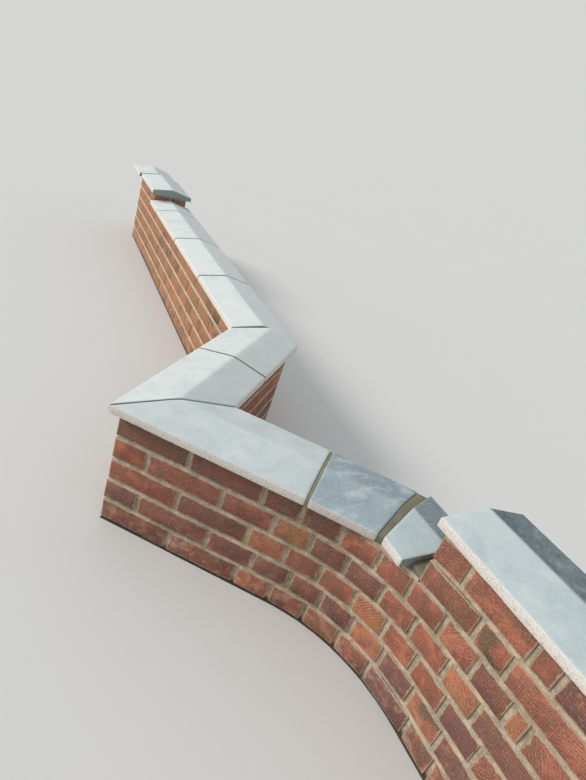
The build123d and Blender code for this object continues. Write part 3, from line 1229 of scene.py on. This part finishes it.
lowWall = struckLevels(0, lowTop)
mitreRun = thickness * math.tan(math.radians(innerTurn / 2))
farSteps = mortarSizes["farArcSteps"]
farRounded = outlineOf(farRun, (-farLength, thickness))
farRounded += arcPoints(farArcCentre, farRadius, farBend + 180, farBend + 270, farSteps)
farMitre = outlineOf(farRun, (0, 0), (mitreRun, thickness))
farGapEnd = outlineOf(farRun, (farRaisedStart, 0), (farRaisedStart, thickness))
makeMortar(
    "farRunMortar",
    [
        wallShell(farRounded + farMitre, [len(farRounded)], lowWall),
        wallShell(farRounded + farGapEnd, [], struckLevels(lowTop, farUnderside)),
        bedShell(farGapEnd[::-1] + farMitre, [0, 2]),
    ],
    ["far_run_bed", "far_raised_bed"],
)
returnOutline = outlineOf(
    returnRun, (0, 0), (planterLeg, 0), (planterLeg - thickness, thickness), (-mitreRun, thickness)
)
frontOutline = outlineOf(
    frontRun, (0, 0), (curveStart, 0), (curveStart, thickness), (thickness, thickness)
)
for name, outline, node in (
    ("returnMortar", returnOutline, "return_bed"),
    ("frontMortar", frontOutline, "front_bed"),
):
    shells = [wallShell(outline, [1, 3], lowWall), bedShell(outline, [1, 3])]
    makeMortar(name, shells, [node])


# A stretch of the curve, with its angle at both ends of the face and of the back.
def curveOutline(faceEnds, backEnds, steps):
    count = mortarSizes[steps]
    face = arcPoints(curveCentre, curveRadius, *faceEnds, count)
    back = arcPoints(curveCentre, backRadius, *backEnds[::-1], count)
    return face + back, [count, 2 * count + 1]


faceAngle, backAngle = (90 + math.degrees(raisedTurn(r)) for r in (curveRadius, backRadius))
wholeCurve, wholeEnds = curveOutline((135, 90), (135, 90), "wholeCurveSteps")
lowCurve, lowEnds = curveOutline((135, faceAngle), (135, backAngle), "lowCurveSteps")
raisedCurve, raisedEnds = curveOutline((faceAngle, 90), (backAngle, 90), "raisedCurveSteps")
makeMortar(
    "curveMortar",
    [
        wallShell(wholeCurve, wholeEnds, lowWall),
        bedShell(lowCurve, lowEnds),
        wallShell(raisedCurve, raisedEnds[:1], struckLevels(lowTop, nearUnderside)),
    ],
    ["curved_bed", "near_raised_curve_bed"],
)
nearOutline = outlineOf(
    nearRun, (curveEndX, 0), (nearEndX, 0), (nearEndX, thickness), (curveEndX, thickness)
)
nearShell = wallShell(nearOutline, [3], struckLevels(0, nearUnderside))
makeMortar("nearRunMortar", [nearShell], ["near_raised_bed"])


# Coping: a block of grid cells, drawn to the weathered section and cut by upright planes.
def cutLine(run, x, y=0.0, heading=0.0):
    return runPoint(run, x, y), unitAt(run["heading"] + heading)


def turnedCut(cut):
    return cut[0], -cut[1]


def movedCut(cut, distance):
    return cut[0] + cut[1] * distance, cut[1]


def endsOf(run, start, finish, cuts, y):
    low, high = np.full_like(y, start), np.full_like(y, finish)
    for foot, facing in cuts:
        slope = run["along"] @ facing
        x = ((foot - run["corner"]) @ facing - y * (run["into"] @ facing)) / slope
        if slope > 0:
            low = np.maximum(low, x)
        else:
            high = np.minimum(high, x)
    return low, high


def blockGrid(counts):
    numbers, faces = {}, []
    for axis in range(3):
        first, second = (axis + 1) % 3, (axis + 2) % 3
        for end in (0, counts[axis]):
            for a in range(counts[first]):
                for b in range(counts[second]):
                    face = []
                    for da, db in ((0, 0), (1, 0), (1, 1), (0, 1)):
                        place = [0, 0, 0]
                        place[axis], place[first], place[second] = end, a + da, b + db
                        face.append(numbers.setdefault(tuple(place), len(numbers)))
                    faces.append(face if end else face[::-1])
    return np.array(list(numbers)), faces


def cellStops(low, high, cell):
    count = max(1, round((high - low) / cell))
    return [low + (high - low) * n / count for n in range(count + 1)]


# Slim blocks, such as joints, have coarser cells and a finer arris.
stoneShape = {
    "cell": 0.009,
    "arris": 0.003,
    "slimLength": 0.05,
    "slimCell": 0.012,
    "slimArris": 0.0008,
    "rows": 4,
    "grooveStops": (-1, -0.7, 0, 0.7, 1),
    "ridgeSoftness": 0.007,
    "ridgeDrop": 0.6,
    "Unevenness": 0.0007,
    "Chips": 0.002,
    "waves": (16.0, 4.0, 0.55),
    "waveReach": 2.0,
    "chips": (42.0, 2.0),
    "chipStart": 0.55,
    "chipReach": 4.0,
}


def sectionStops(halfWidth, arris, grooves, cell):
    stops = {0.0, halfWidth, halfWidth - arris, stoneShape["ridgeSoftness"] / 2}
    radius = copingSizes["grooveRadius"]
    groove = halfWidth - copingSizes["grooveInset"]
    if grooves:
        stops |= {groove + radius * share for share in stoneShape["grooveStops"]}
    stops |= set(cellStops(0.0, groove - radius if grooves else halfWidth - arris, cell))
    stops = sorted({round(stop, 5) for stop in stops})
    return [-stop for stop in stops[:0:-1]] + stops


def copingMesh(run, underside, start, finish, cuts, inset, kinks):
    slim = finish - start < stoneShape["slimLength"] or inset > 0
    keys = ("slimArris", "slimCell") if slim else ("arris", "cell")
    arris, cell = (stoneShape[key] for key in keys)
    halfWidth = thickness / 2 + overhang - inset
    rise, softness = copingSizes["rise"], stoneShape["ridgeSoftness"]
    across = set(sectionStops(halfWidth, arris, inset == 0, cell))
    across |= {round(kink - thickness / 2, 5) for kink in kinks}
    across = np.array(sorted(across))
    ridge = np.sqrt(across**2 + softness**2) - softness * stoneShape["ridgeDrop"]
    top = copingSizes["edge"] - inset + rise - rise / halfWidth * ridge
    groove = halfWidth - copingSizes["grooveInset"]
    depth = copingSizes["grooveRadius"] ** 2 - (np.abs(across) - groove) ** 2
    bottom = np.sqrt(np.maximum(depth, 0)) if inset == 0 else np.zeros_like(across)
    low, high = endsOf(run, start, finish, cuts, across + thickness / 2)
    columns = max(3, round(float(np.max(high - low)) / cell))
    rows = stoneShape["rows"]
    counts = (columns, len(across) - 1, rows)
    corners, faces = blockGrid(counts)
    i, j, k = corners.T
    share = np.clip((i - 1) / max(columns - 2, 1), 0, 1)
    x = low[j] + arris + (high[j] - low[j] - 2 * arris) * share
    x = np.where(i == 0, low[j], np.where(i == columns, high[j], x))
    tall = top[j] - bottom[j] - 2 * arris
    z = bottom[j] + arris + tall * np.clip((k - 1) / (rows - 2), 0, 1)
    z = np.where(k == 0, bottom[j], np.where(k == rows, top[j], z))
    sides = (corners == counts).astype(int) - (corners == 0)
    reach = np.abs(sides).sum(axis=1)
    shift = sides * (arris * (1 - 1 / np.sqrt(np.maximum(reach, 1))))[:, None]
    x, y, z = np.array([x, across[j], z]) - shift.T
    plan = run["corner"] + np.outer(x, run["along"]) + np.outer(y + thickness / 2, run["into"])
    attributes = {"arris": np.clip(reach - 1, 0, 1), "across": y / halfWidth}
    return np.column_stack([plan, underside + z]), faces, attributes


def makeStoneTree():
    tree, entry, leave = newShaper("weatherStone", ["Unevenness", "Chips"])
    position = addNode(tree, "GeometryNodeInputPosition").outputs[0]
    normal = addNode(tree, "GeometryNodeInputNormal").outputs[0]
    waves = swing(tree, noiseOf(tree, position, *stoneShape["waves"]), stoneShape["waveReach"])
    waves = times(tree, waves, entry["Unevenness"])
    chips = minus(tree, noiseOf(tree, position, *stoneShape["chips"]), stoneShape["chipStart"])
    chips = times(tree, valueMath(tree, "MAXIMUM", chips, 0.0), stoneShape["chipReach"])
    chips = times(tree, times(tree, chips, entry["Chips"]), named(tree, "arris", "FLOAT"))
    offset = scaled(tree, normal, minus(tree, waves, chips))
    move = {"Geometry": entry["Geometry"], "Offset": offset}
    return moveAndFinish(tree, entry, leave, move, True)


stoneTree = makeStoneTree()

# For each stone: how light it is, partly its own tone and partly painted sun on the far stones and
# painted shade on the near ones; how dark a film its back slope has, partly painted shade; and its
# pale streaks.
stoneLooks = {
    "farCopingStone1": (0.98, 0.25, 0.1),
    "farCopingStone2": (1.0, 0.25, 0.1),
    "farCopingStone3": (0.95, 0.3, 0.1),
    "farCutStone": (0.95, 0.3, 0.1),
    "farRaisedStone1": (0.9, 0.35, 0.1),
    "farRaisedStone2": (0.9, 0.35, 0.1),
    "returnInnerStone": (0.9, 0.24, 0.15),
    "returnNoseStone": (0.9, 0.24, 0.15),
    "frontNoseStone": (0.74, 0.1, 0.35),
    "frontTurnedStone": (0.1, 0.3, 0.6),
    "nearCutStone": (0.50, 0.85, 0.2),
    "nearRaisedStone1": (0.60, 1.1, 0.2),
    "nearRaisedStone2": (0.60, 1.1, 0.2),
}

# For each joint: how light its mortar is.
jointLooks = {
    "farCopingJoints": 0.0,
    "farRaisedCopingJoint": 0.0,
    "returnCopingJoint": 0.35,
    "noseJoint": 0.4,
    "frontCopingJoint": 0.85,
    "wedgeJoint": 0.45,
    "nearCutJoint": 0.3,
    "nearRaisedCopingJoint": 0.5,
}


def makeCoping(name, node, parts):
    isJoint = name in jointLooks
    blocks = [copingMesh(*part) for part in parts]
    points, faces = joined(blocks)
    look = (jointLooks[name], 0.0, 0.0) if isJoint else stoneLooks[name]
    attributes = {"stoneLook": np.tile(look, (len(points), 1))}
    for key in ("arris", "across"):
        attributes[key] = np.concatenate([block[2][key] for block in blocks])
    piece = newPiece(name, points, faces, attributes)
    values = {
        "Unevenness": stoneShape["Unevenness"],
        "Chips": 0.0 if isJoint else stoneShape["Chips"],
        "Material": jointMaterial if isJoint else stoneMaterial,
    }
    runTree(piece, stoneTree, values)
    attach(piece, "root")
    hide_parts(node)


def makeStone(name, node, run, ends, *cuts, kinks=(), underside=lowUnderside):
    makeCoping(name, node, [(run, underside, *ends, cuts, 0, kinks)])


# Each part of a joint has its run, where it starts and finishes there, and its cuts.
def makeJoint(name, node, *parts, underside=lowUnderside, recess=copingSizes["jointRecess"]):
    parts = [(run, underside, *ends, cuts, recess, ()) for run, ends, *cuts in parts]
    makeCoping(name, node, parts)


farFinishes = [innerJoint - n * stonePitch for n in range(copingSizes["farWholeStones"])]
for number, finish in enumerate(farFinishes, 1):
    ends = (finish - stoneLength, finish)
    makeStone(f"farCopingStone{number}", f"far_run_coping_{number}", farRun, ends)
makeStone("farCutStone", "far_run_cut_coping", farRun, (farCutStart, farCutFinish))
farGaps = [(finish, finish + stoneJoint) for finish in [*farFinishes, farCutFinish]]
farGaps = [(farRun, gap) for gap in [*farGaps, (farRaisedStart, farCutStart)]]
makeJoint("farCopingJoints", "far_run_coping_joints", *farGaps)

farFinish = farRaisedStart + overhang
farJoint = farFinish - copingSizes["farRaisedLength"]
farGap = (farJoint - stoneJoint, farJoint)
farEndRun = dict(farRun, corner=runPoint(farRun, 0, -copingSizes["farEndShift"]))
farStones = [(farRun, (farJoint, farFinish)), (farEndRun, (-farLength - overhang, farGap[0]))]
for number, (run, ends) in enumerate(farStones, 1):
    name, node = f"farRaisedStone{number}", f"far_raised_coping_{number}"
    makeStone(name, node, run, ends, underside=farUnderside)
name, node = "farRaisedCopingJoint", "far_raised_coping_joint"
makeJoint(name, node, (farRun, farGap), underside=farUnderside)

# The return and the front, mitred at the nose.
noseReach = planterLeg + overhang
returnJoint = noseReach - copingSizes["returnLength"]
returnGap = (returnJoint - stoneJoint, returnJoint)
frontGap = (curveStart - stoneJoint, curveStart)
halfJoint = copingSizes["mitreJoint"] / 2
returnMitre, frontMitre = cutLine(returnRun, planterLeg, 0, -135), cutLine(frontRun, 0, 0, -45)
returnNose, frontNose = (movedCut(mitre, halfJoint) for mitre in (returnMitre, frontMitre))
innerCuts = [cutLine(farRun, innerJoint + stoneJoint), cutLine(farRun, 0, stoneBack, -90)]


# Where on a stone's width two cuts of one end meet.
def kinkOf(run, first, second):
    y = np.array([0.0, 1.0])
    a, b = (endsOf(run, -9, 9, [cut], y)[0] for cut in (first, second))
    return float((b[0] - a[0]) / ((a[1] - a[0]) - (b[1] - b[0])))


ends = (returnJoint, noseReach)
makeStone("returnNoseStone", "return_nose_coping", returnRun, ends, returnNose)
ends, kinks = (-stoneLength, returnGap[0]), [kinkOf(returnRun, *innerCuts)]
makeStone("returnInnerStone", "return_inner_coping", returnRun, ends, *innerCuts, kinks=kinks)
makeJoint("returnCopingJoint", "return_coping_joint", (returnRun, returnGap))
ends = (-overhang, frontGap[0])
makeStone("frontNoseStone", "front_nose_coping", frontRun, ends, frontNose)
makeJoint("frontCopingJoint", "front_coping_joint", (frontRun, frontGap))

# The short turned stone, and the wedge between it and the stone that runs into the raised end.
secondStart = cutLine(frontRun, curveStart)
secondHeading = 45 - copingSizes["secondTurn"]
secondRun = makeRun(secondStart[0] - lineOrigin, secondHeading)
secondReach = copingSizes["secondLength"] + stoneBack
wedgeCut = cutLine(secondRun, copingSizes["secondLength"], -overhang, -copingSizes["wedgeTurn"])
wedgeFoot = movedCut(wedgeCut, copingSizes["wedgeJoint"])[0]
wedgeHeading = secondHeading - copingSizes["wedgeTurn"] - copingSizes["wedgeSpread"]
farWedgeCut = (wedgeFoot, unitAt(wedgeHeading))
ends, cuts = (-stoneBack, secondReach), (secondStart, turnedCut(wedgeCut))
makeStone("frontTurnedStone", "front_turned_coping", secondRun, ends, *cuts)
wedge = (secondRun, (0, secondReach), wedgeCut, turnedCut(farWedgeCut))
makeJoint("wedgeJoint", "front_wedge_joint", wedge)

# The cut stone stands out and ends askew, a wide joint away from the raised end.
cutRun = makeRun((0, -copingSizes["cutShift"]), 0)
cutFinish = raisedEndX - copingSizes["nearGap"]
cutEnd = cutLine(cutRun, cutFinish, -overhang, -copingSizes["cutSkew"])
ends, cuts = (cutFinish - stoneLength, raisedEndX), (farWedgeCut, turnedCut(cutEnd))
makeStone("nearCutStone", "near_cut_coping", cutRun, ends, *cuts)
gap, recess = (nearRun, (cutFinish, raisedEndX), cutEnd), copingSizes["nearGapRecess"]
makeJoint("nearCutJoint", "near_cut_joint", gap, recess=recess)
returnEnds = (planterLeg - stoneBack - halfJoint, noseReach)
frontEnds = (-overhang, stoneBack + halfJoint)
makeJoint(
    "noseJoint",
    "nose_coping_joint",
    (returnRun, returnEnds, returnMitre, turnedCut(returnNose)),
    (frontRun, frontEnds, frontMitre, turnedCut(frontNose)),
)

nearStart = raisedEndX - overhang
nearEndCut = cutLine(nearRun, nearStart, -overhang, -copingSizes["nearEndSkew"])
for number in range(nearStones):
    start, cuts = nearStart + number * stonePitch, [] if number else [nearEndCut]
    name, node = f"nearRaisedStone{number + 1}", f"near_raised_coping_{number + 1}"
    makeStone(name, node, nearRun, (start, start + stoneLength), *cuts, underside=nearUnderside)
nearGaps = [nearStart + stoneLength + number * stonePitch for number in range(nearStones - 1)]
nearGaps = [(nearRun, (start, start + stoneJoint)) for start in nearGaps]
name, node = "nearRaisedCopingJoint", "near_raised_coping_joint"
makeJoint(name, node, *nearGaps, underside=nearUnderside)
print("coping laid")

# Floor, light and camera.
stageLook = {
    "floor": (0.70, 0.70, 0.69),
    "floorPatch": (0.6, 0.6, 0.58),
    "floorNoise": (1.5, 3.0),
    "floorPatches": (0.3, 0.7, 0.0, 0.04),
    "floorRoughness": 0.9,
    "floorSide": 60.0,
    "background": (0.665, 0.667, 0.657),
    "sky": (0.93, 0.97, 1.0),
    "skyStrength": 0.62,
    "sunFrom": (-0.55, -0.80, 0.58),
    "sunPower": 2.2,
    "sunSpread": 20.0,
    "sunColour": (1.0, 0.96, 0.90),
}


def makeFloor():
    side = stageLook["floorSide"]
    points = [(-side, -side, 0), (side, -side, 0), (side, side, 0), (-side, side, 0)]
    floor = newPiece("floor", points, [[0, 1, 2, 3]], {})
    material, tree, shader, place = newMaterial("paleFloor", stageLook["floorRoughness"])
    tone = noiseOf(tree, place, *stageLook["floorNoise"])
    share = remap(tree, tone, *stageLook["floorPatches"])
    colour = mixColour(tree, share, stageLook["floor"], stageLook["floorPatch"])
    tree.links.new(colour, shader.inputs["Base Color"])
    floor.data.materials.append(material)


def addSun():
    data = bpy.data.lights.new("softSun", "SUN")
    data.energy, data.color = stageLook["sunPower"], stageLook["sunColour"]
    data.angle = math.radians(stageLook["sunSpread"])
    sun = bpy.data.objects.new("softSun", data)
    bpy.context.scene.collection.objects.link(sun)
    sun.rotation_euler = Vector(stageLook["sunFrom"]).to_track_quat("Z", "Y").to_euler()


# The world lights the scene as a pale sky, and is seen as a plain background.
def makeWorld():
    world = bpy.data.worlds.new("plainStudio")
    world.use_nodes = True
    bpy.context.scene.world = world
    tree = world.node_tree
    sky = tree.nodes["Background"]
    sky.inputs["Color"].default_value = (*stageLook["sky"], 1.0)
    sky.inputs["Strength"].default_value = stageLook["skyStrength"]
    plain = addNode(tree, "ShaderNodeBackground", {"Color": (*stageLook["background"], 1.0)})
    rays = addNode(tree, "ShaderNodeLightPath").outputs
    seen = valueMath(tree, "MAXIMUM", rays["Is Camera Ray"], rays["Is Glossy Ray"])
    seen = valueMath(tree, "MAXIMUM", seen, rays["Is Transmission Ray"])
    inputs = {0: seen, 1: sky.outputs[0], 2: plain.outputs[0]}
    mixed = addNode(tree, "ShaderNodeMixShader", inputs).outputs[0]
    tree.links.new(mixed, tree.nodes["World Output"].inputs[0])


cameraView = {
    "place": (1.23631, -0.95155),  # From the long line's origin.
    "height": 1.22711,
    "turn": (62.46897, -17.96908, 63.14460),
    "lens": 24.909,
    "sensor": 36.0,
    "nearest": 0.02,
}


def addCamera():
    data = bpy.data.cameras.new("camera")
    data.sensor_width, data.lens = cameraView["sensor"], cameraView["lens"]
    data.clip_start = cameraView["nearest"]
    camera = bpy.data.objects.new("camera", data)
    camera.location = (*(lineOrigin + cameraView["place"]), cameraView["height"])
    camera.rotation_euler = [math.radians(angle) for angle in cameraView["turn"]]
    bpy.context.scene.collection.objects.link(camera)
    bpy.context.scene.camera = camera


makeFloor()
addSun()
makeWorld()
addCamera()
bpy.context.scene.view_settings.view_transform = "Standard"
